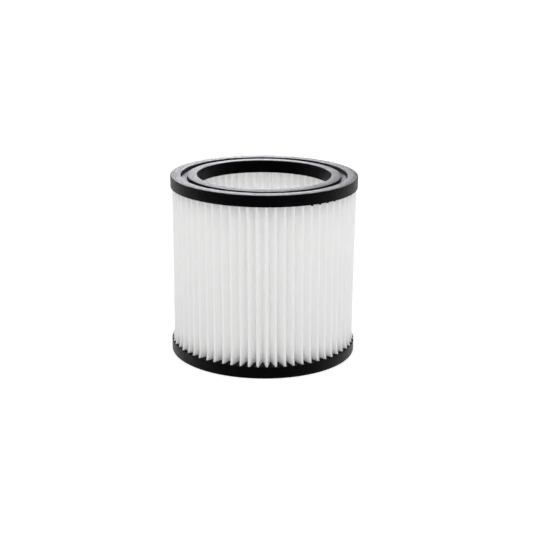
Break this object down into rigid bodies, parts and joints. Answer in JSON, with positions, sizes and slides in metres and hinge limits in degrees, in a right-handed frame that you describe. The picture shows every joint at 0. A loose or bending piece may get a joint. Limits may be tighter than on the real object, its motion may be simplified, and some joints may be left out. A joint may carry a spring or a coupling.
{
  "type": "vacuum filter",
  "caption": "Round cartridge filter: a pleated white sheet closed into a cylinder, cast at its ends into a black grooved ring with a wide opening and a black closing disc.",
  "frame": {"origin": "centre of the closed disc's underside", "axes": "+Z along the filter's axis, towards the open ring; +X through the crest of a pleat"},
  "size_m": [0.14, 0.14, 0.136],
  "materials": {
    "cap_polyurethane": "satin, moulded",
    "filter_fabric": "matt, pressed non-woven"
  },
  "bodies": {
    "root": {"top_cap": "cap_polyurethane", "pleated_media": "filter_fabric", "bottom_cap": "cap_polyurethane"}
  },
  "joints": []
}
